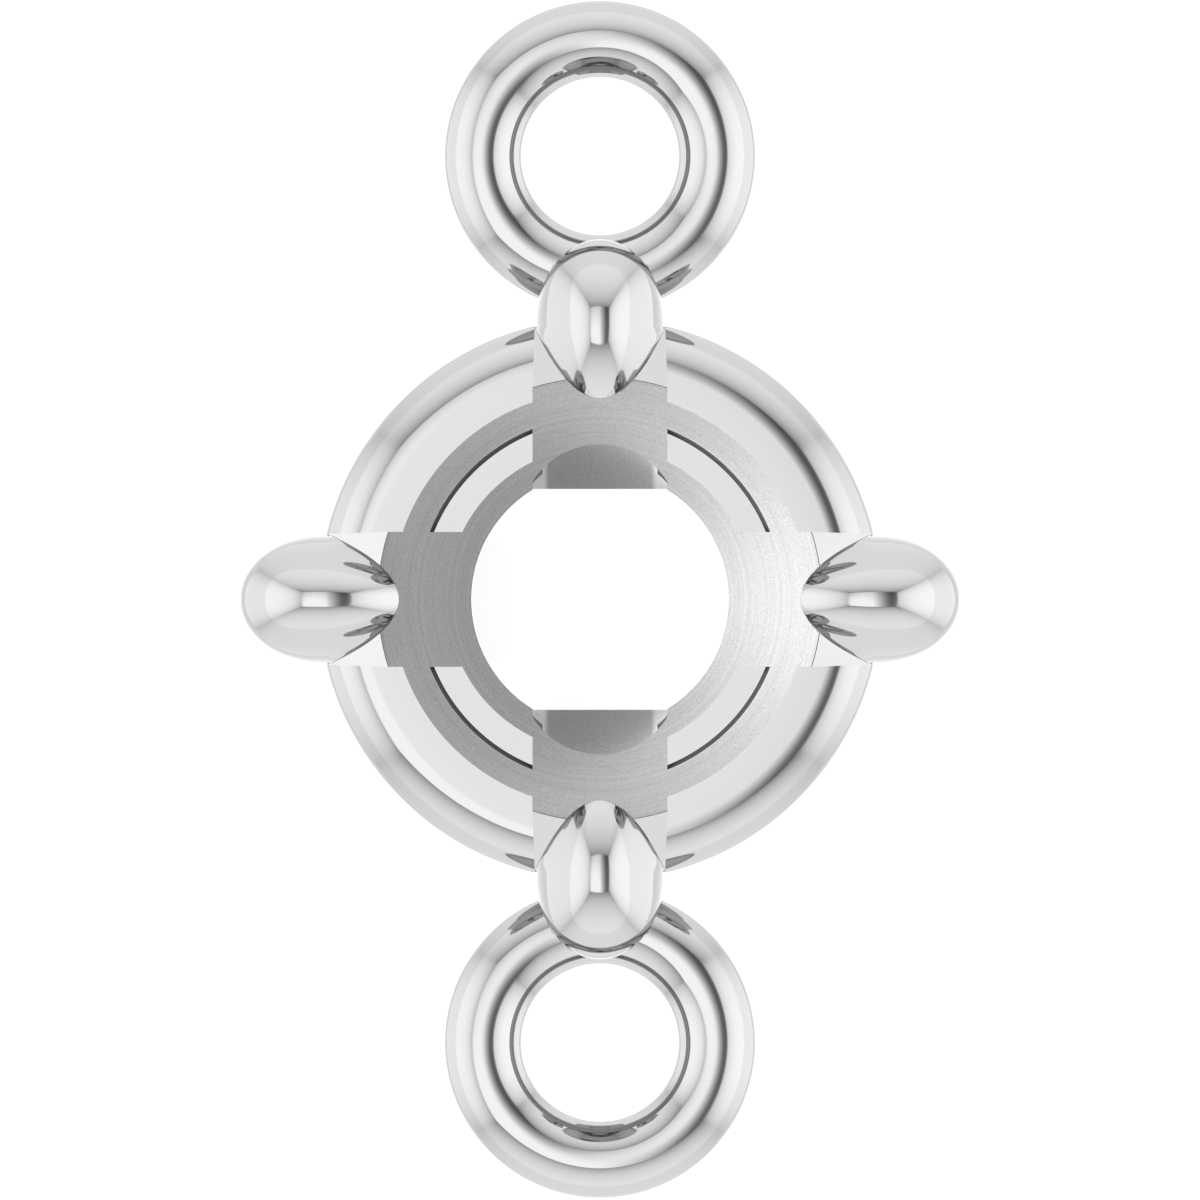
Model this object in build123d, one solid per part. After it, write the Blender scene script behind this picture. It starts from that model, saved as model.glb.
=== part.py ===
from build123d import *
from math import asin, degrees, radians, sqrt, tan
import os

# Four-claw link setting for one round stone, with a fixed ring at each end. It is one cast piece.
# Millimetres, +Z up. The origin is on the surface it rests on, under the middle of the stone seat.
# The end rings lie along Y.

# Stone seat
stone_diameter = 3.0
pavilion_angle = 41.0
girdle_height = 1.40
girdle_land = 0.03
claw_notch_angle = 60.0
claw_notch_depth = 0.20

# Gallery: a wide upper rail on a narrower lower rail, open through the middle
hole_radius = 0.87
lower_rail_bottom = 0.50
lower_rail_radius = 1.70
lower_rail_rounding = 0.12
ledge_radius = 1.037
step_radius = 1.211
step_draft = 0.028
upper_rail_radius = 1.905
upper_rail_rounding = 0.305
upper_rail_band = 0.02
upper_rail_under_rounding = 0.10
rail_top_inner_radius = 1.409

# Prong legs
leg_width = 0.912
leg_foot_reach = 1.90
leg_foot_end = 0.55

# Claw heads
claw_height = 1.00
claw_ridge_radius = 1.848
claw_end = 0.581
claw_half_width = 0.432
claw_inset = 0.012
claw_root = 0.02
claw_side_depth = 0.890
nose_length = 0.493
nose_bluntness = 0.392
nose_crest_run = 0.122
nose_arc_radius = 0.782
nose_tip_half_width = 0.036
shoulder_angle = 34.0
neck_narrowing = 0.012

# Metal inside the two legs that carry the end rings
post_reach = 0.75
post_arch_reach = 1.049
post_arch_radius = 0.538

# End rings, which bite into the legs that carry them
ring_hole_radius = 0.532
ring_wire_radius = 0.26
ring_bite = 0.2416
ring_below_rail_top = 0.325

# Levels and radii that follow from the sizes above
stone_radius = stone_diameter / 2
seat_slope = tan(radians(pavilion_angle))
seat_bottom = girdle_height - (stone_radius - hole_radius) * seat_slope
ledge_level = seat_bottom + (ledge_radius - hole_radius) * seat_slope
rail_top = seat_bottom + (rail_top_inner_radius - hole_radius) * seat_slope
step_top = seat_bottom + (step_radius + step_draft - hole_radius) * seat_slope
ridge_level = girdle_height + claw_height
claw_end_level = ridge_level - claw_end
ring_level = rail_top - ring_below_rail_top
ring_line_radius = ring_hole_radius + ring_wire_radius
leg_lean = (claw_ridge_radius + claw_end - leg_foot_reach) / claw_end_level
ring_offset = leg_foot_reach + leg_lean * ring_level + ring_line_radius + ring_wire_radius - ring_bite
leg_half_width = leg_width / 2
nose_tip_radius = claw_ridge_radius - nose_length

# How far joined pieces run into each other, and how far a cutter passes the metal
overlap = 0.05
side_clearance = 0.02
clear_of_part = 2.0

# Turns about the Z axis: to each leg, and to the seam of a round form, which lies between two legs
leg_turns = (0, 90, 180, 270)
seam_turn = 45


def spun(outline):
    """A closed outline of radius and height, turned once round the Z axis."""
    return Rot(0, 0, seam_turn) * revolve(Plane.XZ * make_face(outline), Axis.Z)


def gallery():
    """The two rails with the step between them, before the hole and the stone seat are cut."""
    top_centre = (upper_rail_radius - upper_rail_rounding, rail_top - upper_rail_rounding)
    band_bottom = top_centre[1] - upper_rail_band
    under_centre = (upper_rail_radius - upper_rail_under_rounding, band_bottom)
    under_level = band_bottom - upper_rail_under_rounding
    low_centre = (lower_rail_radius - lower_rail_rounding, lower_rail_bottom + lower_rail_rounding)
    uncut_radius = hole_radius - overlap
    step_lean = step_draft * (rail_top - ledge_level) / (step_top - ledge_level)
    inside = Polyline(
        (low_centre[0], lower_rail_bottom),
        (uncut_radius, lower_rail_bottom),
        (uncut_radius, ledge_level),
        (step_radius, ledge_level),
        (step_radius + step_lean, rail_top),
        (top_centre[0], rail_top),
    )
    top_round = CenterArc(top_centre, upper_rail_rounding, 0, 90)
    band = Line((upper_rail_radius, top_centre[1]), (upper_rail_radius, band_bottom))
    under_round = CenterArc(under_centre, upper_rail_under_rounding, 270, 90)
    waist = Polyline(
        (under_centre[0], under_level),
        (lower_rail_radius, under_level),
        (lower_rail_radius, low_centre[1]),
    )
    low_round = CenterArc(low_centre, lower_rail_rounding, 270, 90)
    return spun(inside + top_round + band + under_round + waist + low_round)


def leg_section(level, half_width, end_centre, end_reach):
    """A leg cut level: straight sides with a half-ellipse at the outer end, lying along X."""
    start = hole_radius / 2
    nose = EllipticalCenterArc((end_centre, 0), end_reach, half_width, start_angle=-90, arc_size=180)
    back = Polyline(
        (end_centre, half_width), (start, half_width), (start, -half_width), (end_centre, -half_width)
    )
    return Pos(0, 0, level) * make_face(nose + back)


def leg():
    """A leg that leans outward, from the foot to where the claw's end is upright."""
    foot_centre = leg_foot_reach - leg_foot_end
    girdle_share = girdle_height / claw_end_level
    girdle_centre = foot_centre + (claw_ridge_radius - foot_centre) * girdle_share
    girdle_end = leg_foot_end + (claw_end - leg_foot_end) * girdle_share
    lower = loft(
        [
            leg_section(0, leg_half_width, foot_centre, leg_foot_end),
            leg_section(girdle_height, leg_half_width, girdle_centre, girdle_end),
        ],
        ruled=True,
    )
    upper = loft(
        [
            leg_section(girdle_height, leg_half_width, girdle_centre, girdle_end),
            leg_section(claw_end_level, leg_half_width - neck_narrowing, claw_ridge_radius, claw_end),
        ],
        ruled=True,
    )
    return lower + upper


def shoulder_cutter():
    """What is cleared above the girdle, so that each leg slopes up and out from the stone's edge."""
    start = girdle_height + girdle_land
    reach = stone_radius + clear_of_part
    end = start + clear_of_part * tan(radians(shoulder_angle))
    top = ridge_level + clear_of_part
    outline = Polyline((0, start), (stone_radius, start), (reach, end), (reach, top), (0, top), (0, start))
    return spun(outline)


def claw_half_width_at(radius):
    """Half the width of the claw's outline, seen from above, at a distance from the middle."""
    if radius >= claw_ridge_radius:
        share = min(1.0, (radius - claw_ridge_radius) / (claw_end - claw_inset))
        return claw_half_width * sqrt(1 - share**2)
    full = sqrt(nose_bluntness * nose_length)
    return claw_half_width * sqrt(nose_bluntness * (radius - nose_tip_radius)) / full


def claw_ridge_at(radius):
    """Height of the claw's ridge line at a distance from the middle."""
    run = abs(radius - claw_ridge_radius)
    if radius >= claw_ridge_radius or run <= nose_crest_run:
        return ridge_level - claw_end + sqrt(max(0.0, claw_end**2 - run**2))
    start = nose_crest_run / claw_end
    reached = start + (run - nose_crest_run) / nose_arc_radius
    crest_drop = claw_end * (1 - sqrt(1 - start**2))
    return ridge_level - crest_drop - nose_arc_radius * (sqrt(1 - start**2) - sqrt(1 - reached**2))


def claw_bottom_at(radius):
    """Height of the claw's underside, just inside the leg's shoulder or its top."""
    shoulder = girdle_height + girdle_land + max(0.0, radius - stone_radius) * tan(radians(shoulder_angle))
    return min(shoulder, claw_end_level) - claw_root


def claw_section(radius, depth_share):
    """An upright cut across the claw: a half-ellipse, cut off at its foot or carried down to the bottom."""
    half_width = max(nose_tip_half_width, claw_half_width_at(radius))
    depth = claw_side_depth * depth_share
    bottom = claw_bottom_at(radius)
    spring = claw_ridge_at(radius) - depth
    cut = max(0.0, bottom + claw_root - spring)
    angle = degrees(asin(cut / depth))
    arc_size = 180 - 2 * angle
    crown = EllipticalCenterArc((0, spring), half_width, depth, start_angle=angle, arc_size=arc_size)
    right, left = crown @ 0, crown @ 1
    skirt = Polyline(left, (left.X, bottom), (right.X, bottom), right)
    return Plane((radius, 0, 0), x_dir=(0, 1, 0), z_dir=(1, 0, 0)) * make_face(crown + skirt)


def claw():
    """The claw head: a ridge that narrows to a nose over the stone and rounds off at the outer end."""
    nose_shares = (0.0, 0.04, 0.12, 0.28, 0.5, 0.8)
    # Share of the outer end's length, and the crown's depth there as a share of its depth at the crest
    end_table = (
        (0.0, 1.0),
        (0.25, 0.76),
        (0.45, 0.34),
        (0.62, 0.16),
        (0.8, 0.11),
        (0.93, 0.09),
        (1.0, 0.07),
    )
    sections = []
    for share in nose_shares:
        radius = nose_tip_radius + nose_length * share
        half_width = max(nose_tip_half_width, claw_half_width_at(radius))
        sections.append(claw_section(radius, half_width / claw_half_width))
    for share, depth_share in end_table:
        sections.append(claw_section(claw_ridge_radius + (claw_end - claw_inset) * share, depth_share))
    return loft(sections, ruled=True)


def stone_cutter():
    """The room the stone takes: its pavilion, its edge and the notch under each claw's nose."""
    notch_inner = stone_radius - claw_notch_depth
    notch_start = girdle_height + girdle_land
    notch_top = notch_start + claw_notch_depth * tan(radians(claw_notch_angle))
    culet = girdle_height - stone_radius * seat_slope
    top = ridge_level + clear_of_part
    outline = Polyline(
        (0, culet),
        (stone_radius, girdle_height),
        (stone_radius, notch_start),
        (notch_inner, notch_top),
        (notch_inner, top),
        (0, top),
        (0, culet),
    )
    return spun(outline)


def post_cutter():
    """What is cleared inside a ring-carrying leg: flat at the foot, hollowed to an arch at the seat."""
    side = leg_half_width + side_clearance
    arch_level = seat_bottom + (post_arch_reach - hole_radius) * seat_slope
    top_level = arch_level + overlap
    top_reach = post_reach + (post_arch_reach - post_reach) * top_level / arch_level
    spring = top_reach - post_arch_radius + sqrt(post_arch_radius**2 - side**2)
    foot = Polyline((side, 0), (side, post_reach), (-side, post_reach), (-side, 0), (side, 0))
    arch = ThreePointArc((side, spring), (0, top_reach), (-side, spring))
    rest = Polyline((-side, spring), (-side, 0), (side, 0), (side, spring))
    sections = [make_face(foot), Pos(0, 0, top_level) * make_face(arch + rest)]
    return loft(sections, ruled=True)


def end_ring():
    """One end ring, lying flat."""
    return Pos(0, ring_offset, ring_level) * Torus(ring_line_radius, ring_wire_radius)


def setting():
    """The whole casting: gallery and side legs, the hole, ring-carrying legs, claws, seat, end rings."""
    half_turn = Rot(0, 0, 180)
    side_leg = leg() - shoulder_cutter()
    post_leg = Rot(0, 0, 90) * side_leg
    metal = gallery() + side_leg + half_turn * side_leg
    metal -= Rot(0, 0, seam_turn) * Cylinder(hole_radius, 2 * ridge_level)
    metal = metal + post_leg + half_turn * post_leg
    metal = metal - post_cutter() - half_turn * post_cutter()
    for turn in leg_turns:
        metal += Rot(0, 0, turn) * claw()
    metal -= stone_cutter()
    return metal + end_ring() + half_turn * end_ring()


os.makedirs("parts", exist_ok=True)
link_setting = setting()
print("solids", len(link_setting.solids()), "volume", round(link_setting.volume, 3))
export_step(link_setting, "parts/link_setting.step")
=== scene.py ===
"""A four-claw link setting in white metal, seen straight from above on a white ground.

Sizes in the classes below are millimetres, and meshes are scaled to metres when they are finished. Legs,
claws and end rings are drawn along +X, with the Y axis across them, and turned to their places. The end
rings lie along Y.
"""

import logging
import math
from collections.abc import Callable, Sequence
from dataclasses import dataclass, field
from enum import Enum

import bmesh
import bpy
from mathutils import Matrix, Vector


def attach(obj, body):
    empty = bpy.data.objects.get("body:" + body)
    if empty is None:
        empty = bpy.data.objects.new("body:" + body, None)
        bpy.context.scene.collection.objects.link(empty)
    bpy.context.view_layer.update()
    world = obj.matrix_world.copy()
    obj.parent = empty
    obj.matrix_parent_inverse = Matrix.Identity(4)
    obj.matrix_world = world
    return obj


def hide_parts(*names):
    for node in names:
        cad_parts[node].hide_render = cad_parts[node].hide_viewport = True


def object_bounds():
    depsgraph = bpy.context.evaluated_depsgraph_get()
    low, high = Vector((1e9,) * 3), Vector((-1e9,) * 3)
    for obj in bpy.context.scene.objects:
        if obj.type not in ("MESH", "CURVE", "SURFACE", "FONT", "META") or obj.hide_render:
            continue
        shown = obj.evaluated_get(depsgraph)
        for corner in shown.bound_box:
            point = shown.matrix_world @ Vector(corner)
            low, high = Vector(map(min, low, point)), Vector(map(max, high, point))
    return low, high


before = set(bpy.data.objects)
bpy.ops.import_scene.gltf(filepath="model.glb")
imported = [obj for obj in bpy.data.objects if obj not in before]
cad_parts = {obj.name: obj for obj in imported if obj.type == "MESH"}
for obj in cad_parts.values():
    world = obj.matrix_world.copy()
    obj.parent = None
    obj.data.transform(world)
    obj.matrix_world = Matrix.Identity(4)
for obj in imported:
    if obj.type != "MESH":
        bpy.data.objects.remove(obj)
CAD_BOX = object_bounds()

LOG = logging.getLogger("link_setting")
NODE = "link_setting"
BODY = "root"

# Metres in a millimetre
MM = 0.001
# Turns in degrees
QUARTER_TURN = 90
FULL_TURN = 360
# Points nearer to each other than this are one point, in millimetres
WELD = 1e-6
# Edges that bend by more than this stay sharp
SHARP_ANGLE = math.radians(28)
# The upward part of a face's normal is less than this on a wall
WALL_RISE = 0.5
# The upward part of a face's normal is more than this on a flat
FLAT_RISE = 0.9
# The middle of a noise node's values
NOISE_MIDDLE = 0.5
# The curve of screen greys: a straight foot, and a power above it
SCREEN_WHITE = 255
FOOT_END = 0.04045
FOOT_SLOPE = 12.92
CURVE_LIFT = 0.055
CURVE_POWER = 2.4

Point = tuple[float, float, float]
Outline = list[tuple[float, float]]


def light_of(shade: float) -> float:
    """Linear light of a grey.

    Args:
        shade: The grey as seen on a screen, from 0 to 255.

    Returns:
        Its linear value, from 0 to 1.
    """
    share = shade / SCREEN_WHITE
    if share <= FOOT_END:
        return share / FOOT_SLOPE
    return ((share + CURVE_LIFT) / (1 + CURVE_LIFT)) ** CURVE_POWER


def opaque(grey: float) -> tuple[float, float, float, float]:
    """A linear grey as an opaque colour."""
    return grey, grey, grey, 1.0


def arc(centre: tuple[float, float], radius: float, start: float, end: float, steps: int) -> Outline:
    """Points along a circular arc.

    Args:
        centre: Its centre, as radius from the axis and height.
        radius: Its radius.
        start: The angle of its first point, in degrees.
        end: The angle of its last point, in degrees.
        steps: How many chords it is drawn with.

    Returns:
        The points, both ends included.
    """
    angles = [math.radians(angle) for angle in spread(start, end, steps)]
    return [(centre[0] + radius * math.cos(a), centre[1] + radius * math.sin(a)) for a in angles]


def spread(start: float, end: float, steps: int) -> list[float]:
    """Evenly spaced values from start to end, both included."""
    return [start + (end - start) * step / steps for step in range(steps + 1)]


class Finish(Enum):
    """The finishes of the casting, in the order of a piece's material slots."""

    POLISHED = 0
    SATIN_SEAT = 1
    # Satin of the post legs' inner walls: darker than the seat's as painted shade, with painted light
    # and a painted sheen
    SATIN_POST = 2
    # A near black finish of painted shade, on the seat's step wall, on one leg's land and at the arches'
    # ends
    STEP_WALL = 3


class Number:
    """A node's number socket, which takes Python arithmetic and adds the Math nodes for it."""

    def __init__(self, graph: "Graph", socket: bpy.types.NodeSocket | None) -> None:
        """Wraps a socket of a graph."""
        self.graph = graph
        self.socket = socket

    def _math(self, operation: str, *values: "Number | float") -> "Number":
        """The result of a Math node on these values."""
        return self.graph.node("ShaderNodeMath", {"operation": operation}, list(values))

    def __add__(self, other: "Number | float") -> "Number":
        """self + other."""
        return self._math("ADD", self, other)

    def __radd__(self, other: float) -> "Number":
        """other + self."""
        return self._math("ADD", other, self)

    def __sub__(self, other: "Number | float") -> "Number":
        """self - other."""
        return self._math("SUBTRACT", self, other)

    def __rsub__(self, other: float) -> "Number":
        """other - self."""
        return self._math("SUBTRACT", other, self)

    def __mul__(self, other: "Number | float") -> "Number":
        """self * other."""
        return self._math("MULTIPLY", self, other)

    def __rmul__(self, other: float) -> "Number":
        """other * self."""
        return self._math("MULTIPLY", other, self)

    def __truediv__(self, other: "Number | float") -> "Number":
        """self / other."""
        return self._math("DIVIDE", self, other)

    def __rtruediv__(self, other: float) -> "Number":
        """other / self."""
        return self._math("DIVIDE", other, self)

    def __pow__(self, other: float) -> "Number":
        """self ** other."""
        return self._math("POWER", self, other)

    def __abs__(self) -> "Number":
        """The absolute value."""
        return self._math("ABSOLUTE", self)

    def __gt__(self, other: "Number | float") -> "Number":
        """1 where self is over other, else 0."""
        return self._math("GREATER_THAN", self, other)

    def at_least(self, other: "Number | float") -> "Number":
        """The greater of the two."""
        return self._math("MAXIMUM", self, other)

    def at_most(self, other: "Number | float") -> "Number":
        """The lesser of the two."""
        return self._math("MINIMUM", self, other)


class Graph:
    """A node tree that is written as Python expressions."""

    def __init__(self, tree: bpy.types.NodeTree) -> None:
        """Starts an empty tree."""
        self.tree = tree
        tree.nodes.clear()

    def node(
        self,
        kind: str,
        settings: dict | None = None,
        inputs: dict | Sequence | None = None,
        output: int | str = 0,
    ) -> Number:
        """Adds a node.

        Args:
            kind: The node's type.
            settings: Its properties, set before its sockets. "stops" holds a ramp's places and greys.
            inputs: Values or links of its sockets, by name or in order.
            output: The socket that is handed back.

        Returns:
            The chosen output, or the first. It holds no socket where the node has no outputs.
        """
        made = self.tree.nodes.new(kind)
        for name, value in (settings or {}).items():
            if name == "stops":
                self._set_stops(made.color_ramp, value)
            else:
                setattr(made, name, value)
        pairs = inputs.items() if isinstance(inputs, dict) else enumerate(inputs or [])
        for key, value in pairs:
            if isinstance(value, Number):
                self.tree.links.new(value.socket, made.inputs[key])
            else:
                made.inputs[key].default_value = value
        return Number(self, made.outputs[output] if made.outputs else None)

    @staticmethod
    def _set_stops(ramp: bpy.types.ColorRamp, stops: Sequence[tuple[float, float]]) -> None:
        """Gives a ramp its stops.

        Args:
            ramp: The ramp.
            stops: The place and the linear grey of each.
        """
        while len(ramp.elements) < len(stops):
            ramp.elements.new(1.0)
        for element, (place, grey) in zip(ramp.elements, stops):
            element.position = place
            element.color = opaque(grey)

    def axes(self, vector: Number) -> tuple[Number, Number, Number]:
        """The three parts of a vector."""
        parts = self.node("ShaderNodeSeparateXYZ", None, [vector]).socket.node.outputs
        return tuple(Number(self, part) for part in parts)


@dataclass(frozen=True)
class Noise:
    """A noise pattern, through space or along a single number."""

    detail: float
    roughness: float
    through_space: bool = True

    def around_nought(self, place: Number, pitch: float) -> Number:
        """The pattern's value, which lies as far under nought as over it.

        Args:
            place: Where it is read, in metres: a vector through space, or else a number.
            pitch: The size of its specks, in millimetres.

        Returns:
            The value.
        """
        dimensions, socket = ("3D", "Vector") if self.through_space else ("1D", "W")
        inputs = {
            socket: place,
            "Scale": 1 / (pitch * MM),
            "Detail": self.detail,
            "Roughness": self.roughness,
        }
        value = place.graph.node("ShaderNodeTexNoise", {"noise_dimensions": dimensions}, inputs)
        return value - NOISE_MIDDLE


SPECKS = Noise(detail=3.0, roughness=0.6)
TOOL_MARKS = Noise(detail=2.0, roughness=0.55, through_space=False)
CLOUDS = Noise(detail=2.0, roughness=0.5)


@dataclass(frozen=True)
class Metal:
    """A finish of the white metal.

    A grain of fine specks and, where it was turned, rings of tool marks round the stone's axis vary its
    colour and stand up a little as bump, and soft clouds vary its roughness. Its grey can slope along X,
    per millimetre, as painted light from one side, and can grow by a gain further than a start on either
    side of the middle, as a painted sheen.
    """

    name: str
    grey: float
    metallic: float
    roughness: float
    grain: float
    grain_size: float
    ring_marks: float
    ring_pitch: float
    bump: float
    roughness_spread: float
    edge_tint: float = 1.0
    shine: float = 0.5
    # Painted light: the grey's slope along X per millimetre; then a painted sheen that grows past a
    # start on either side
    painted_light_slope: float = 0.0
    painted_sheen_start: float = 0.0
    painted_sheen_gain: float = 0.0
    painted_sheen_run: float = 0.033
    ring_rise: float = 0.3
    cloud_size: float = 0.6
    bump_height: float = 0.004

    def material(self) -> bpy.types.Material:
        """Builds the finish as a material.

        Returns:
            The material, with its pattern on Object coordinates.
        """
        made = bpy.data.materials.new(self.name)
        made.use_nodes = True
        graph = Graph(made.node_tree)
        place = graph.node("ShaderNodeTexCoord", None, None, "Object")
        across, along, up = graph.axes(place)
        radius = (across * across + along * along) ** 0.5
        side = across * (1 / MM)
        # How far past the start a point lies, which sets the painted sheen near the edges
        painted_sheen_share = ((abs(side) - self.painted_sheen_start) * (1 / self.painted_sheen_run)).at_least(0.0).at_most(1.0)
        specks = SPECKS.around_nought(place, self.grain_size)
        rings = TOOL_MARKS.around_nought(radius + up * self.ring_rise, self.ring_pitch)
        clouds = CLOUDS.around_nought(place, self.cloud_size)
        relief = specks * self.grain + rings * self.ring_marks
        # Painted light: the grey slopes along X, lighter towards +X, and grows near the edges as a
        # painted sheen
        brightness = (relief + 1.0) * (side * self.painted_light_slope + painted_sheen_share * self.painted_sheen_gain + 1.0) * self.grey
        colour = graph.node("ShaderNodeCombineColor", None, [brightness, brightness, brightness])
        normal = graph.node(
            "ShaderNodeBump",
            None,
            {"Strength": self.bump, "Distance": self.bump_height * MM, "Height": relief},
        )
        surface = graph.node(
            "ShaderNodeBsdfPrincipled",
            None,
            {
                "Base Color": colour,
                "Metallic": self.metallic,
                "Roughness": clouds * self.roughness_spread + self.roughness,
                "Specular IOR Level": self.shine,
                "Specular Tint": opaque(self.edge_tint),
                "Normal": normal,
            },
        )
        graph.node("ShaderNodeOutputMaterial", None, [surface])
        return made


METALS: dict[Finish, Metal] = {
    Finish.POLISHED: Metal(
        name="polished_metal",
        grey=0.34,
        metallic=1.0,
        roughness=0.05,
        grain=0.012,
        grain_size=0.03,
        ring_marks=0.0,
        ring_pitch=0.05,
        bump=0.01,
        roughness_spread=0.02,
        edge_tint=0.80,
    ),
    Finish.SATIN_SEAT: Metal(
        name="satin_seat_metal",
        grey=0.240,
        metallic=0.10,
        roughness=0.62,
        grain=0.9,
        grain_size=0.011,
        ring_marks=0.30,
        ring_pitch=0.03,
        bump=0.0,
        roughness_spread=0.08,
        shine=0.1,
    ),
    # The post legs' satin: its grey below the seat's is painted shade, its slope along X is painted
    # light, lighter towards +X, and its gain near the edges is a painted sheen
    Finish.SATIN_POST: Metal(
        name="satin_post_painted_shade_metal",
        grey=0.195,
        metallic=0.10,
        roughness=0.65,
        grain=1.8,
        grain_size=0.011,
        ring_marks=0.0,
        ring_pitch=0.03,
        bump=0.0,
        roughness_spread=0.08,
        shine=0.1,
        painted_light_slope=0.55,
        painted_sheen_start=0.347,
        painted_sheen_gain=1.2,
    ),
    # Not a metal of its own: a near black sheet of painted shade for steep walls and thin lands
    Finish.STEP_WALL: Metal(
        name="painted_shade_metal",
        grey=0.03,
        metallic=0.0,
        roughness=0.8,
        grain=0.5,
        grain_size=0.02,
        ring_marks=0.0,
        ring_pitch=0.02,
        bump=0.1,
        roughness_spread=0.05,
    ),
}


@dataclass
class Sizes:
    """The casting's main sizes, shared by its pieces.

    The claws' height and the outer reaches come from the frame. The joint radius lies inside the metal,
    where the rails and the seat's quarters run into each other.
    """

    stone_radius: float = 1.5
    girdle_level: float = 1.40
    girdle_land: float = 0.03
    pavilion_angle: float = 41.0
    hole_radius: float = 0.87
    rail_inner_radius: float = 1.409
    joint_radius: float = 1.44
    low_level: float = 0.50
    leg_half_width: float = 0.456
    leg_end_half_width: float = 0.440
    foot_centre: float = 1.35
    ridge_radius: float = 1.848
    shoulder_angle: float = 34.0
    ridge_level: float = CAD_BOX[1].z / MM
    claw_reach: float = CAD_BOX[1].x / MM
    ring_reach: float = CAD_BOX[1].y / MM

    @property
    def land_level(self) -> float:
        """Height of the top of the narrow land that stands round the stone's edge."""
        return self.girdle_level + self.girdle_land

    def seat_level(self, radius: float) -> float:
        """Height of the stone seat's cone at a radius."""
        slope = math.tan(math.radians(self.pavilion_angle))
        return self.girdle_level - (self.stone_radius - radius) * slope

    def half_width_at(self, along: float) -> float:
        """Half a leg's width at a distance from the middle: even up to the stone's edge, then less."""
        share = max(0.0, (along - self.stone_radius) / (self.ridge_radius - self.stone_radius))
        return self.leg_half_width + (self.leg_end_half_width - self.leg_half_width) * share

    def shoulder_level(self, radius: float) -> float:
        """Height of a leg's shoulder at a radius outside the stone's edge."""
        slope = math.tan(math.radians(self.shoulder_angle))
        return self.land_level + (radius - self.stone_radius) * slope


@dataclass
class Piece:
    """A visible piece of the casting, whose mesh is built in millimetres."""

    name: str
    sizes: Sizes
    turn: float = 0.0

    def build(self, mesh: bmesh.types.BMesh) -> None:
        """Makes the piece's faces, as they lie before it is turned."""
        raise NotImplementedError

    def finish_at(self, centre: Vector, normal: Vector) -> Finish:
        """The finish of a face, from its centre and normal before the piece is turned."""
        return Finish.POLISHED

    def dress(self, materials: dict[Finish, bpy.types.Material]) -> None:
        """Builds the piece, turns it to its place and puts it on the frame.

        Args:
            materials: The material of each finish.
        """
        mesh = bmesh.new()
        self.build(mesh)
        bmesh.ops.remove_doubles(mesh, verts=mesh.verts, dist=WELD)
        bmesh.ops.dissolve_degenerate(mesh, edges=mesh.edges, dist=WELD)
        bmesh.ops.recalc_face_normals(mesh, faces=mesh.faces)
        for face in mesh.faces:
            face.material_index = self.finish_at(face.calc_center_median(), face.normal).value
            face.smooth = True
        turned = Matrix.Rotation(math.radians(self.turn), 4, "Z")
        bmesh.ops.transform(mesh, matrix=Matrix.Scale(MM, 4) @ turned, verts=mesh.verts)
        data = bpy.data.meshes.new(self.name)
        mesh.to_mesh(data)
        open_edges = sum(1 for edge in mesh.edges if not edge.is_manifold)
        mesh.free()
        data.set_sharp_from_angle(angle=SHARP_ANGLE)
        for finish in Finish:
            data.materials.append(materials[finish])
        made = bpy.data.objects.new(self.name, data)
        bpy.context.scene.collection.objects.link(made)
        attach(made, BODY)
        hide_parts(NODE)
        LOG.info("%s: %d faces, %d open edges", self.name, len(data.polygons), open_edges)

    @staticmethod
    def sheet(
        mesh: bmesh.types.BMesh, rows: int, columns: int, place: Callable[[int, int], Point]
    ) -> None:
        """Lays a grid over a surface that is worked out from the grid's rows and columns.

        Args:
            mesh: Where the faces go.
            rows: How many faces there are one way.
            columns: How many faces there are the other way.
            place: Gives the point of a row and a column.
        """
        made = bmesh.ops.create_grid(mesh, x_segments=columns, y_segments=rows, size=1.0)
        for vertex in made["verts"]:
            row = round((vertex.co.y + 1) / 2 * rows)
            column = round((vertex.co.x + 1) / 2 * columns)
            vertex.co = place(row, column)

    @staticmethod
    def spun(
        mesh: bmesh.types.BMesh,
        outline: Outline,
        angle: float,
        steps: int,
        centre: tuple[float, float] = (0.0, 0.0),
    ) -> None:
        """Turns a closed outline round an upright axis.

        Args:
            mesh: Where the faces go.
            outline: Points of radius from the axis and height.
            angle: How far it turns, in degrees, from +X.
            steps: How many faces it has round the axis.
            centre: The axis, as x and y.
        """
        verts = [mesh.verts.new((centre[0] + radius, centre[1], level)) for radius, level in outline]
        edges = [mesh.edges.new((verts[i - 1], verts[i])) for i in range(len(verts))]
        bmesh.ops.spin(
            mesh,
            geom=verts + edges,
            cent=(*centre, 0.0),
            axis=(0.0, 0.0, 1.0),
            angle=math.radians(angle),
            steps=steps,
            use_merge=angle == FULL_TURN,
        )

    @staticmethod
    def close(mesh: bmesh.types.BMesh) -> None:
        """Welds the seams and closes each open side with a flat face."""
        bmesh.ops.remove_doubles(mesh, verts=mesh.verts, dist=WELD)
        bmesh.ops.holes_fill(mesh, edges=[edge for edge in mesh.edges if edge.is_boundary], sides=0)


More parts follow.
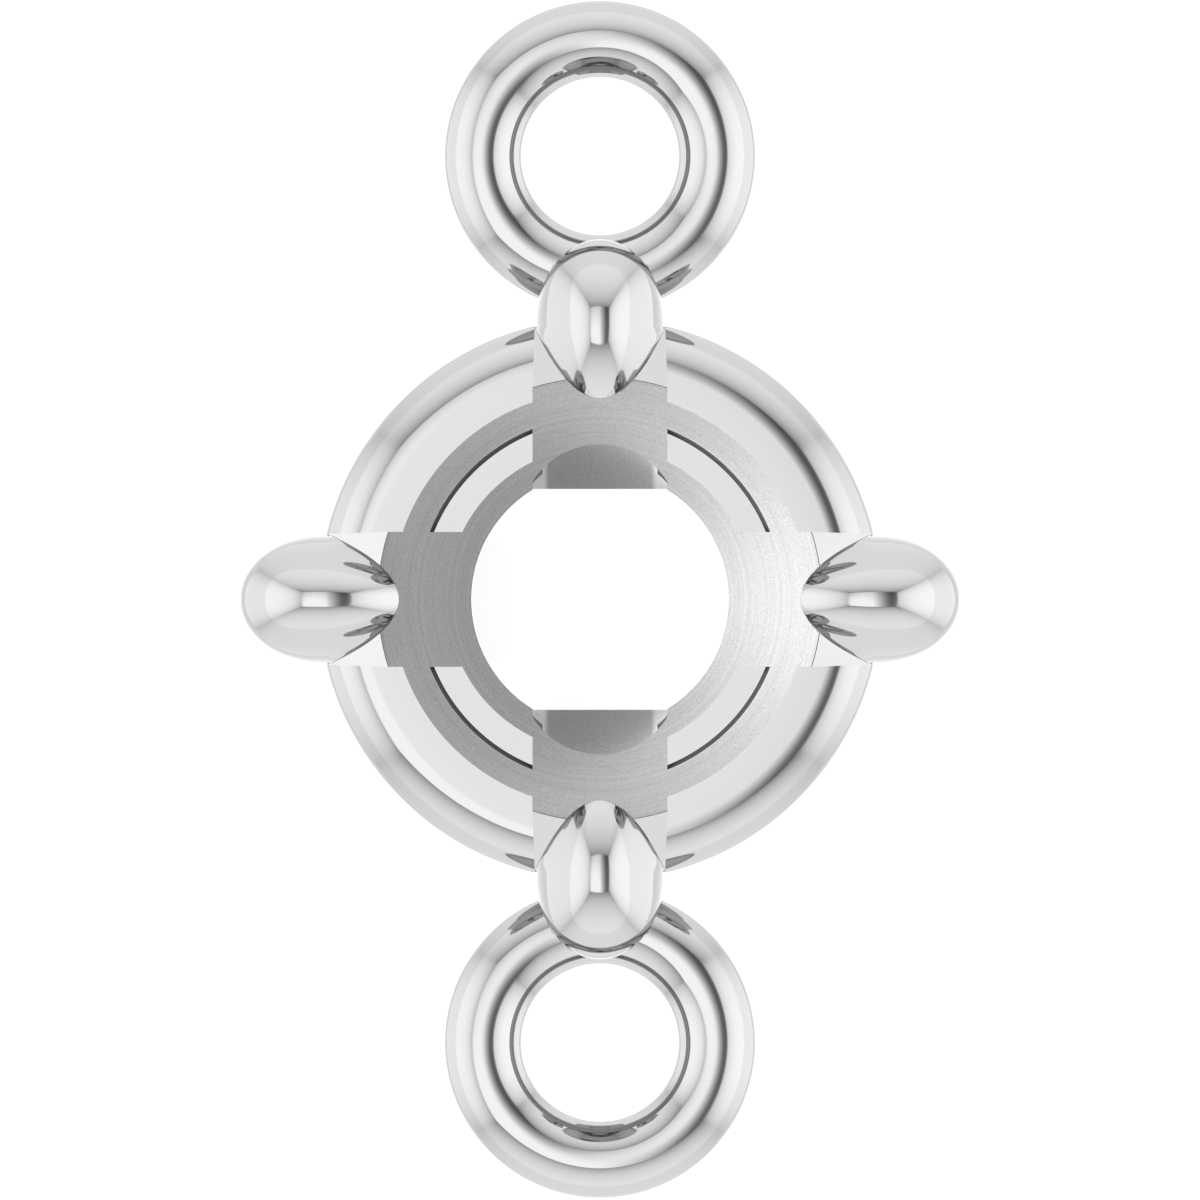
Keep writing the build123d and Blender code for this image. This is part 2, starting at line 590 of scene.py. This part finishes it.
@dataclass
class Rails(Piece):
    """The gallery's outside: a wide upper rail with a domed edge on a narrower lower rail."""

    steps: int = 256
    top_steps: int = 40
    edge_steps: int = 12
    tuck_steps: int = 6
    top_radius: float = 1.905
    top_rounding: float = 0.305
    band: float = 0.02
    under_rounding: float = 0.10
    low_radius: float = 1.70
    low_rounding: float = 0.12
    tuck: float = 0.03

    def build(self, mesh: bmesh.types.BMesh) -> None:
        """Turns the rails' outline, whose inner side lies inside the seat.

        Args:
            mesh: Where the faces go.
        """
        inner = self.sizes.rail_inner_radius
        joint = self.sizes.joint_radius
        bottom = self.sizes.low_level
        top = self.sizes.seat_level(inner)
        top_centre = (self.top_radius - self.top_rounding, top - self.top_rounding)
        under_centre = (self.top_radius - self.under_rounding, top_centre[1] - self.band)
        under_level = under_centre[1] - self.under_rounding
        low_centre = (self.low_radius - self.low_rounding, bottom + self.low_rounding)
        waist_centre = (self.low_radius + self.tuck, under_level - self.tuck)
        outline = [(inner, top)]
        outline += arc(top_centre, self.top_rounding, 90, 0, self.top_steps)
        outline += arc(under_centre, self.under_rounding, 0, -90, self.edge_steps)
        outline += arc(waist_centre, self.tuck, 90, 180, self.tuck_steps)
        outline += arc(low_centre, self.low_rounding, 0, -90, self.edge_steps)
        outline.append((joint, bottom))
        outline.append((joint - self.tuck, bottom + self.tuck))
        outline.append((inner - self.tuck, top - 2 * self.tuck))
        self.spun(mesh, outline, FULL_TURN, self.steps)


@dataclass
class SeatQuarter(Piece):
    """A quarter of the gallery's inside, between two legs: the seat in two bands, a ledge and a step."""

    steps: int = 72
    bands: int = 6
    ledge_radius: float = 1.037
    step_radius: float = 1.211
    step_draft: float = 0.028
    step_margin: float = 0.0005
    into_leg: float = 0.0005

    def build(self, mesh: bmesh.types.BMesh) -> None:
        """Turns the outline through a quarter and cuts it off just inside the two legs' sides.

        Args:
            mesh: Where the faces go.
        """
        hole = self.sizes.hole_radius
        inner = self.sizes.rail_inner_radius
        joint = self.sizes.joint_radius
        seat = self.sizes.seat_level
        step_top = self.step_radius + self.step_draft
        outline = [(hole, self.sizes.low_level)]
        outline += [(r, seat(r)) for r in spread(hole, self.ledge_radius, self.bands)]
        outline.append((self.step_radius, seat(self.ledge_radius)))
        outline += [(r, seat(r)) for r in spread(step_top, inner, self.bands)]
        outline.append((joint, seat(inner) - self.step_draft))
        outline.append((joint, self.sizes.low_level))
        self.spun(mesh, outline, QUARTER_TURN, self.steps)
        cut = self.sizes.leg_half_width - self.into_leg
        for way in ((1.0, 0.0, 0.0), (0.0, 1.0, 0.0)):
            bmesh.ops.bisect_plane(
                mesh,
                geom=mesh.verts[:] + mesh.edges[:] + mesh.faces[:],
                dist=WELD,
                plane_co=Vector(way) * cut,
                plane_no=way,
                clear_inner=True,
            )
        self.close(mesh)

    def finish_at(self, centre: Vector, normal: Vector) -> Finish:
        """Satin on the cone, painted shade on the step's wall, polished elsewhere.

        Args:
            centre: The face's centre, before the piece is turned.
            normal: The face's normal, before the piece is turned.

        Returns:
            The face's finish.
        """
        radius = centre.xy.length
        step_top = self.step_radius + self.step_draft
        if self.step_radius - self.step_margin < radius < step_top + self.step_margin:
            above_ledge = centre.z > self.sizes.seat_level(self.ledge_radius)
            # Painted shade: the step's wall above the ledge is near black
            return Finish.STEP_WALL if above_ledge else Finish.POLISHED
        on_cone = WALL_RISE < normal.z < FLAT_RISE and radius < self.sizes.rail_inner_radius
        return Finish.SATIN_SEAT if on_cone else Finish.POLISHED


@dataclass
class Leg(Piece):
    """The straight part of a leg: its inner wall, its band of the seat, the land and the shoulder."""

    columns: int = 80
    wall_rows: int = 8
    seat_rows: int = 12
    shoulder_rows: int = 8
    land_draft: float = 0.006
    # How far inward a land face must look to take the painted shade
    land_facing: float = 0.9
    shoulder_end: float = 1.84
    inside_level: float = 1.30

    @property
    def seat_end(self) -> float:
        """Radius at which the seat ends, at the foot of the land round the stone's edge."""
        return self.sizes.stone_radius - self.land_draft / 2

    def on_circle(self, radius: float, across: float) -> float:
        """Distance along the leg of the point that lies at a radius and this far across."""
        return math.sqrt(radius * radius - across * across)

    def wall_point(self, share: float, across: float) -> Point:
        """A point of the inner wall, from the foot up to the seat."""
        level = self.sizes.seat_level(self.sizes.hole_radius) * share
        return self.on_circle(self.sizes.hole_radius, across), across, level

    def seat_point(self, share: float, across: float) -> Point:
        """A point of the seat, from the inner wall out to the stone's edge."""
        radius = self.sizes.hole_radius + (self.seat_end - self.sizes.hole_radius) * share
        return self.on_circle(radius, across), across, self.sizes.seat_level(radius)

    def shoulder_point(self, share: float, side: float) -> Point:
        """A point of the shoulder, from the stone's edge out to inside the claw.

        Args:
            share: How far out it is, from 0 to 1.
            side: How far across it is, as a share of the leg's half width there.

        Returns:
            The point.
        """
        start = self.sizes.stone_radius + self.land_draft / 2
        middle = start + (self.shoulder_end - start) * share
        across = side * self.sizes.half_width_at(middle)
        bent = self.on_circle(middle, across)
        along = bent + (middle - bent) * share
        return along, across, self.sizes.shoulder_level(math.hypot(along, across))

    def build(self, mesh: bmesh.types.BMesh) -> None:
        """Sweeps the leg's outline across its width, and closes its two flat sides.

        Args:
            mesh: Where the faces go.
        """
        even = self.sizes.leg_half_width
        rows = [(self.wall_point, share, even) for share in spread(0, 1, self.wall_rows)]
        rows += [(self.seat_point, share, even) for share in spread(0, 1, self.seat_rows)[1:]]
        rows += [(self.shoulder_point, share, 1.0) for share in spread(0, 1, self.shoulder_rows)]
        hidden = [(self.sizes.ridge_radius, self.inside_level), (self.sizes.foot_centre, 0.0)]
        corners = len(rows) + len(hidden)

        def place(row: int, column: int) -> Point:
            """The point of an outline's corner at a step across the leg.

            Args:
                row: The corner. The one after the last is the first again.
                column: The step across.

            Returns:
                The point.
            """
            side = math.sin(math.pi * (column / self.columns - 0.5))
            row %= corners
            if row >= len(rows):
                along, level = hidden[row - len(rows)]
                return along, side * self.sizes.half_width_at(along), level
            maker, share, half_width = rows[row]
            return maker(share, side * half_width)

        self.sheet(mesh, corners, self.columns, place)
        self.close(mesh)

    def finish_at(self, centre: Vector, normal: Vector) -> Finish:
        """Satin on the seat's cone, painted shade on the land of the unturned leg, polished elsewhere.

        Args:
            centre: The face's centre, before the piece is turned.
            normal: The face's normal, before the piece is turned.

        Returns:
            The face's finish.
        """
        inward = self.sizes.stone_radius - centre.xy.length
        # Painted shade: a dark line on the land of the leg along +X only
        if self.turn == 0 and abs(inward) < self.land_draft and normal.x < -self.land_facing:
            return Finish.STEP_WALL
        on_cone = inward > self.land_draft and WALL_RISE < normal.z < FLAT_RISE
        return Finish.SATIN_SEAT if on_cone else Finish.POLISHED


@dataclass
class PostLeg(Leg):
    """A leg that carries an end ring, whose inner wall slopes from a straight foot up to an arch."""

    wall_rows: int = 16
    wall_facing: float = 0.3
    foot_reach: float = 0.75
    arch_reach: float = 1.049
    arch_radius: float = 0.538
    even_radius: float = 1.22
    # Where the painted shade at the arch's ends begins: how far across, and how high as a share of the
    # arch
    rim_start: float = 0.385
    rim_share: float = 0.76

    def arch_point(self, across: float) -> Point:
        """The point of the arch this far across."""
        along = self.arch_reach - self.arch_radius + math.sqrt(self.arch_radius**2 - across**2)
        return along, across, self.sizes.seat_level(math.hypot(along, across))

    def wall_point(self, share: float, across: float) -> Point:
        """A point of the inner wall, from the foot up to the arch."""
        along, _, level = self.arch_point(across)
        return self.foot_reach + (along - self.foot_reach) * share, across, level * share

    def seat_point(self, share: float, across: float) -> Point:
        """A point of the seat, in rows that follow the arch at first and straighten into circles.

        Args:
            share: How far out it is, from 0 at the arch to 1 at the stone's edge.
            across: How far across it is.

        Returns:
            The point.
        """
        radius = self.arch_reach + (self.seat_end - self.arch_reach) * share
        if radius < self.even_radius:
            start = math.hypot(*self.arch_point(across)[:2])
            even = (self.even_radius - start) / (self.even_radius - self.arch_reach)
            radius = start + (radius - self.arch_reach) * even
        return self.on_circle(radius, across), across, self.sizes.seat_level(radius)

    def finish_at(self, centre: Vector, normal: Vector) -> Finish:
        """Satin on the seat, a darker satin with painted shade, painted light and a painted sheen on the
        inner wall, painted shade at the arch's two ends, polished elsewhere.

        Args:
            centre: The face's centre, before the piece is turned.
            normal: The face's normal, before the piece is turned.

        Returns:
            The face's finish.
        """
        on_wall = normal.x < -self.wall_facing and normal.z < WALL_RISE
        if on_wall and centre.xy.length < self.even_radius:
            _, across, level = self.arch_point(centre.y)
            at_rim = abs(across) > self.rim_start and centre.z > level * self.rim_share
            # Painted shade at the arch's ends, and the shaded satin with painted light on the rest of
            # the wall
            return Finish.STEP_WALL if at_rim else Finish.SATIN_POST
        return super().finish_at(centre, normal)


@dataclass
class Claw(Piece):
    """A claw and the outer end of its leg: a crest that narrows to a nose and rounds off into the back.

    The nose widens with a root of its length. Its bluntness is that root, and 2 makes a parabola.
    """

    nose_rows: int = 64
    neck_rows: int = 10
    end_rows: int = 56
    crown_columns: int = 72
    side_rows: int = 12
    base_columns: int = 8
    half_width: float = 0.436
    crown_depth: float = 0.845
    crown_growth: float = 1.2
    tip_crown_share: float = 0.5
    steepest_on_nose: float = 0.66
    round_start: float = 1.72
    rim_share: float = 0.08
    rim_drop: float = 0.05
    nose_length: float = 0.466
    nose_tip: float = 1.355
    nose_bluntness: float = 2.0
    nose_crest_run: float = 0.122
    nose_arc_radius: float = 0.782
    notch_angle: float = 60.0
    root_level: float = 1.36
    end_depth_share: float = 0.6
    end_depth_power: int = 6
    foot_end: float = 0.55
    heel_inside: float = 0.10
    heel_level: float = 0.10
    heel_run: float = 0.012

    @property
    def end_length(self) -> float:
        """Length of the claw's outer end."""
        return self.sizes.claw_reach - self.sizes.ridge_radius

    def ridge_at(self, along: float) -> float:
        """Height of the ridge.

        Args:
            along: The distance from the middle of the setting.

        Returns:
            The height there.
        """
        run = abs(along - self.sizes.ridge_radius)
        bend = self.end_length
        if along >= self.sizes.ridge_radius or run <= self.nose_crest_run:
            return self.sizes.ridge_level - bend + math.sqrt(max(0.0, bend**2 - run**2))
        start = self.nose_crest_run / bend
        reached = start + (run - self.nose_crest_run) / self.nose_arc_radius
        top = self.sizes.ridge_level - bend * (1 - math.sqrt(1 - start**2))
        return top - self.nose_arc_radius * (math.sqrt(1 - start**2) - math.sqrt(1 - reached**2))

    def build(self, mesh: bmesh.types.BMesh) -> None:
        """Wraps a sheet round the claw: over its crown, down a side, under it and up the other side.

        Args:
            mesh: Where the faces go.
        """
        around = self.crown_columns + 2 * self.side_rows + self.base_columns

        def place(row: int, column: int) -> Point:
            """The point at a step from nose to heel and a step round the claw.

            Args:
                row: The step from nose to heel.
                column: The step round the claw.

            Returns:
                The point.
            """
            if row < self.nose_rows:
                share = row / self.nose_rows
                along = self.nose_tip + self.nose_length * share**self.nose_bluntness
                return self.nose_point(along, share, column)
            row -= self.nose_rows
            if row < self.neck_rows:
                start = self.nose_tip + self.nose_length
                along = start + (self.sizes.ridge_radius - start) * row / self.neck_rows
                return self.nose_point(along, 1.0, column)
            return self.end_point((row - self.neck_rows) / self.end_rows, column)

        self.sheet(mesh, self.nose_rows + self.neck_rows + self.end_rows, around, place)

    def step_round(self, column: int) -> tuple[float, float, float]:
        """Where a column lies round the claw.

        Args:
            column: The step round the claw.

        Returns:
            The crown's angle, from a right angle one way to one the other way, the share down the side,
            and the share across, from -1 to 1.
        """
        if column <= self.crown_columns:
            angle = math.pi * (column / self.crown_columns - 0.5)
            return angle, 0.0, math.sin(angle)
        column -= self.crown_columns
        if column <= self.side_rows:
            return math.pi / 2, column / self.side_rows, 1.0
        column -= self.side_rows
        if column <= self.base_columns:
            return math.pi / 2, 1.0, 1 - 2 * column / self.base_columns
        column -= self.base_columns
        return -math.pi / 2, 1 - column / self.side_rows, -1.0

    def crown_level(self, along: float, share: float, side: float) -> float:
        """Height of the crown on the nose and the neck.

        On the nose it is round by the ridge and straight down the flanks, with a thin rim that drops
        along the outline. Over the neck it becomes round all the way.

        Args:
            along: The distance from the middle of the setting.
            share: The nose's width there, as a share of the claw's.
            side: The share across, from -1 to 1.

        Returns:
            The height.
        """
        crown = self.tip_crown_share + (1 - self.tip_crown_share) * share**self.crown_growth
        neck = max(0.0, (along - self.round_start) / (self.sizes.ridge_radius - self.round_start))
        out = abs(side) * share / crown
        bent = min(out, self.steepest_on_nose)
        slope = bent / math.sqrt(1 - bent**2)
        straight = 1 - math.sqrt(1 - bent**2) + (out - bent) * slope
        rounded = 1 - math.sqrt(max(0.0, 1 - out**2))
        sink = straight + (rounded - straight) * neck
        rim = max(0.0, 1 - (1 - abs(side)) / self.rim_share)
        drop = self.rim_drop * (rim * share) ** 2 * (1 - neck)
        return self.ridge_at(along) - self.crown_depth * crown * sink - drop

    def nose_point(self, along: float, share: float, column: int) -> Point:
        """A point of the nose or the neck.

        Args:
            along: Its distance from the middle of the setting.
            share: The nose's width there, as a share of the claw's.
            column: The step round the claw.

        Returns:
            The point.
        """
        _, down, side = self.step_round(column)
        across = self.half_width * share * side
        level = self.crown_level(along, share, side)
        if down == 0:
            return along, across, level
        bottom = self.root_level
        if along < self.sizes.stone_radius:
            slope = math.tan(math.radians(self.notch_angle))
            bottom = self.sizes.land_level + (self.sizes.stone_radius - along) * slope
        if along > self.sizes.ridge_radius - self.heel_run:
            inner = self.sizes.foot_centre - self.heel_inside
            along += (inner - along) * down
            bottom = self.heel_level
        return along, across, level + (bottom - level) * down

    def end_point(self, share: float, column: int) -> Point:
        """A point of the outer end, from the crest to the heel and down the back to the foot.

        Args:
            share: How far round the end it is, from 0 at the crest to 1 at the heel.
            column: The step round the claw.

        Returns:
            The point.
        """
        angle, down, side = self.step_round(column)
        turn = share * math.pi / 2
        out, thin = math.sin(turn), math.cos(turn)
        deep = self.end_depth_share + (1 - self.end_depth_share) * thin**self.end_depth_power
        depth = self.crown_depth * thin * deep
        along = self.sizes.ridge_radius + self.end_length * out
        edge = self.ridge_at(along) - depth
        if down == 0:
            return along, self.half_width * thin * side, edge + depth * math.cos(angle)
        rise = 1 - down
        level = edge * rise
        foot_centre = self.sizes.foot_centre
        centre = foot_centre + (self.sizes.ridge_radius - foot_centre) * rise
        end = self.foot_end + (self.end_length - self.foot_end) * rise
        start = self.sizes.land_level
        above = max(0.0, (level - start) / (edge - start))
        leg = self.sizes.leg_end_half_width
        half_width = leg + (self.half_width - leg) * above
        return centre + end * out, half_width * thin * side, level


@dataclass
class EndRing(Piece):
    """An end ring of round wire, lying flat."""

    hole_radius: float = 0.532
    wire_radius: float = 0.26
    level: float = 0.996
    steps: int = 160
    wire_steps: int = 64

    def build(self, mesh: bmesh.types.BMesh) -> None:
        """Turns the wire's round section about the ring's own axis.

        Args:
            mesh: Where the faces go.
        """
        line_radius = self.hole_radius + self.wire_radius
        centre = (self.sizes.ring_reach - line_radius - self.wire_radius, 0.0)
        section = arc((line_radius, self.level), self.wire_radius, 0, FULL_TURN, self.wire_steps)
        self.spun(mesh, section[:-1], FULL_TURN, self.steps, centre)


@dataclass(frozen=True)
class Wall:
    """A wall's greys: at the setting's height, near the ceiling and under the setting."""

    level: float
    high: float
    low: float

    def grey(self, z: Number, fall: Number) -> Number:
        """The wall's grey.

        Args:
            z: The height at which it is seen.
            fall: How far it has darkened there, from 0 at the setting's height to 1 near the ceiling.

        Returns:
            The linear grey.
        """
        above = z > 0.0
        upper = light_of(self.level) - fall * (light_of(self.level) - light_of(self.high))
        return above * upper + (1 - above) * light_of(self.low)


@dataclass(frozen=True)
class Room:
    """A plain studio room that the metal mirrors: its ceiling, its four walls and its floor.

    Its ceiling is one unit above the setting. The greys are as the metal shows them, and those of the
    ceiling are stops of place and grey along X.
    """

    half_length: float = 0.63
    half_width: float = 0.473
    depth: float = 0.78
    ceiling: tuple[tuple[float, float], ...] = (
        (-0.63, 216), (-0.50, 236), (-0.30, 242), (-0.10, 238), (0.0, 227), (0.10, 192),
        (0.21, 155), (0.30, 122), (0.38, 98), (0.46, 88), (0.55, 104), (0.63, 150),
    )
    ceiling_tilt: float = 0.25
    ceiling_fall: float = 0.08
    ceiling_limit: float = 242
    right: Wall = Wall(level=246, high=214, low=234)
    left: Wall = Wall(level=242, high=202, low=228)
    side: Wall = Wall(level=224, high=155, low=215)
    floor: float = 199
    end_fall_start: float = 0.1
    end_fall_run: float = 0.77
    side_fall_start: float = 0.05
    side_fall_run: float = 0.84
    side_fall_power: float = 1.4
    corner_softness: float = 0.1
    corner_power: float = 3.0
    end_corner_fall: float = 0.37
    side_corner_fall: float = 0.25

    def build(self, world: bpy.types.World) -> None:
        """Draws the room by direction.

        Args:
            world: The world whose background it becomes.
        """
        world.use_nodes = True
        graph = Graph(world.node_tree)
        x, y, z = graph.axes(graph.node("ShaderNodeTexCoord", None, None, "Generated"))
        long_way, short_way = abs(x) / self.half_length, abs(y) / self.half_width
        low_way = z * (-1 / self.depth)
        walls = long_way.at_least(short_way)
        reach = walls.at_least(z).at_least(low_way)
        hit_x, hit_y, hit_z = x / reach, y / reach, z / reach
        on_ceiling = self._share((z - walls) / reach)
        on_floor = self._share((low_way - walls) / reach)
        on_end = self._share((long_way - short_way) / reach)
        walls_grey = on_end * self._end_grey(hit_x, hit_y, hit_z)
        walls_grey = walls_grey + (1 - on_end) * self._side_grey(hit_x, hit_z)
        grey = on_ceiling * self._ceiling_grey(hit_x, hit_y)
        grey = grey + on_floor * light_of(self.floor)
        grey = grey + (1 - on_ceiling) * (1 - on_floor) * walls_grey
        metal = METALS[Finish.POLISHED].grey
        background = graph.node("ShaderNodeBackground", None, [grey / metal, 1.0])
        graph.node("ShaderNodeOutputWorld", None, [background])

    def _share(self, over: Number) -> Number:
        """How far a direction lies on the near side of a soft edge, from 0 to 1."""
        return (over / self.corner_softness + 0.5).at_least(0.0).at_most(1.0)

    def _ceiling_grey(self, x: Number, y: Number) -> Number:
        """The ceiling's grey, bright at one end and dark towards the other.

        Args:
            x: Where along the room it is seen.
            y: Where across the room it is seen.

        Returns:
            The linear grey.
        """
        stops = [((place / self.half_length + 1) / 2, light_of(shade)) for place, shade in self.ceiling]
        share = x * (0.5 / self.half_length) + 0.5
        along = x.graph.node("ShaderNodeValToRGB", {"stops": stops}, [share])
        side = y / self.half_width
        grey = along * (1 - side * self.ceiling_tilt - side * side * self.ceiling_fall)
        return grey.at_most(light_of(self.ceiling_limit))

    def _end_grey(self, x: Number, y: Number, z: Number) -> Number:
        """The grey of the two end walls, a little darker upward and in their corners.

        Args:
            x: Where along the room it is seen.
            y: Where across the room it is seen.
            z: The height at which it is seen.

        Returns:
            The linear grey.
        """
        right = x > 0.0
        up = ((z - self.end_fall_start) * (1 / self.end_fall_run)).at_least(0.0)
        fall = up * up
        grey = right * self.right.grey(z, fall) + (1 - right) * self.left.grey(z, fall)
        corner = abs(y / self.half_width) ** self.corner_power
        return grey * (1 - corner * self.end_corner_fall)

    def _side_grey(self, x: Number, z: Number) -> Number:
        """The grey of the two side walls, much darker upward and in their corners.

        Args:
            x: Where along the room it is seen.
            z: The height at which it is seen.

        Returns:
            The linear grey.
        """
        up = ((z - self.side_fall_start) * (1 / self.side_fall_run)).at_least(0.0)
        grey = self.side.grey(z, up**self.side_fall_power)
        corner = abs(x / self.half_length) ** self.corner_power
        return grey * (1 - corner * self.side_corner_fall)


@dataclass(frozen=True)
class Studio:
    """The white ground, the soft light on the satin faces, and the camera."""

    frame_width: float = 8.108
    centre: tuple[float, float] = (0.0003, -0.0044)
    lens: float = 1200.0
    sensor: float = 36.0
    clip_span: float = 10.0
    focus_level: float = 1.4
    ground_size: float = 60.0
    ground_glow: float = 0.88
    ground_grey: float = 0.16
    key_power: float = 5.5
    key_turns: tuple[float, ...] = (150.0, 210.0)
    key_height: float = 20.0
    key_softness: float = 40.0

    def build(self) -> None:
        """Makes the ground, the lights and the camera."""
        self.build_ground()
        self.build_lights()
        self.build_camera()
        view = bpy.context.scene.view_settings
        view.view_transform = "Standard"
        view.look = "None"

    def build_ground(self) -> None:
        """A plain white ground, which the polished metal mirrors as the room's floor instead."""
        mesh = bmesh.new()
        bmesh.ops.create_grid(mesh, x_segments=1, y_segments=1, size=self.ground_size * MM)
        data = bpy.data.meshes.new("ground")
        mesh.to_mesh(data)
        mesh.free()
        made = bpy.data.materials.new("ground_white")
        made.use_nodes = True
        graph = Graph(made.node_tree)
        surface = graph.node(
            "ShaderNodeBsdfPrincipled",
            None,
            {
                "Base Color": opaque(self.ground_grey),
                "Roughness": 1.0,
                "Emission Color": opaque(1.0),
                "Emission Strength": self.ground_glow,
            },
        )
        graph.node("ShaderNodeOutputMaterial", None, [surface])
        data.materials.append(made)
        ground = bpy.data.objects.new("ground", data)
        bpy.context.scene.collection.objects.link(ground)
        ground.visible_glossy = False

    def build_lights(self) -> None:
        """Soft lights from the left, low over the setting, that only dull surfaces show."""
        tilt = math.radians(QUARTER_TURN - self.key_height)
        for index, turn in enumerate(self.key_turns, start=1):
            name = f"key_light_{index}"
            data = bpy.data.lights.new(name, "SUN")
            data.energy = self.key_power
            data.angle = math.radians(self.key_softness)
            light = bpy.data.objects.new(name, data)
            light.rotation_euler = (0.0, tilt, math.radians(turn))
            light.visible_glossy = False
            bpy.context.scene.collection.objects.link(light)

    def build_camera(self) -> None:
        """A long lens straight above the setting."""
        data = bpy.data.cameras.new("camera")
        data.type = "PERSP"
        data.sensor_fit = "HORIZONTAL"
        data.sensor_width = self.sensor
        data.lens = self.lens
        height = self.focus_level * MM + self.frame_width * MM * self.lens / self.sensor
        data.clip_start = height / self.clip_span
        data.clip_end = height * self.clip_span
        camera = bpy.data.objects.new("camera", data)
        camera.location = (self.centre[0] * MM, self.centre[1] * MM, height)
        bpy.context.scene.collection.objects.link(camera)
        bpy.context.scene.camera = camera


@dataclass
class LinkSetting:
    """The whole casting, with four legs, of which the two along Y carry the end rings."""

    sizes: Sizes = field(default_factory=Sizes)
    leg_turns: tuple[float, ...] = (0.0, 90.0, 180.0, 270.0)
    ring_turns: tuple[float, ...] = (90.0, 270.0)

    def pieces(self) -> list[Piece]:
        """The casting's pieces, from the gallery outward.

        Returns:
            The rails, the seat's quarters, the legs, the claws and the end rings.
        """
        made: list[Piece] = [Rails("rails", self.sizes)]
        for index, turn in enumerate(self.leg_turns, start=1):
            leg = PostLeg if turn in self.ring_turns else Leg
            made.append(SeatQuarter(f"seat_quarter_{index}", self.sizes, turn))
            made.append(leg(f"leg_{index}", self.sizes, turn))
            made.append(Claw(f"claw_{index}", self.sizes, turn))
        for index, turn in enumerate(self.ring_turns, start=1):
            made.append(EndRing(f"end_ring_{index}", self.sizes, turn))
        return made

    def build(self) -> None:
        """Builds every piece in its finishes."""
        materials = {finish: METALS[finish].material() for finish in Finish}
        for piece in self.pieces():
            piece.dress(materials)


def main() -> None:
    """Builds the setting and its studio."""
    logging.basicConfig(level=logging.INFO, format="%(name)s: %(message)s")
    LinkSetting().build()
    world = bpy.data.worlds.new("room")
    bpy.context.scene.world = world
    Room().build(world)
    Studio().build()
    bpy.context.view_layer.update()


if __name__ == "__main__":
    main()
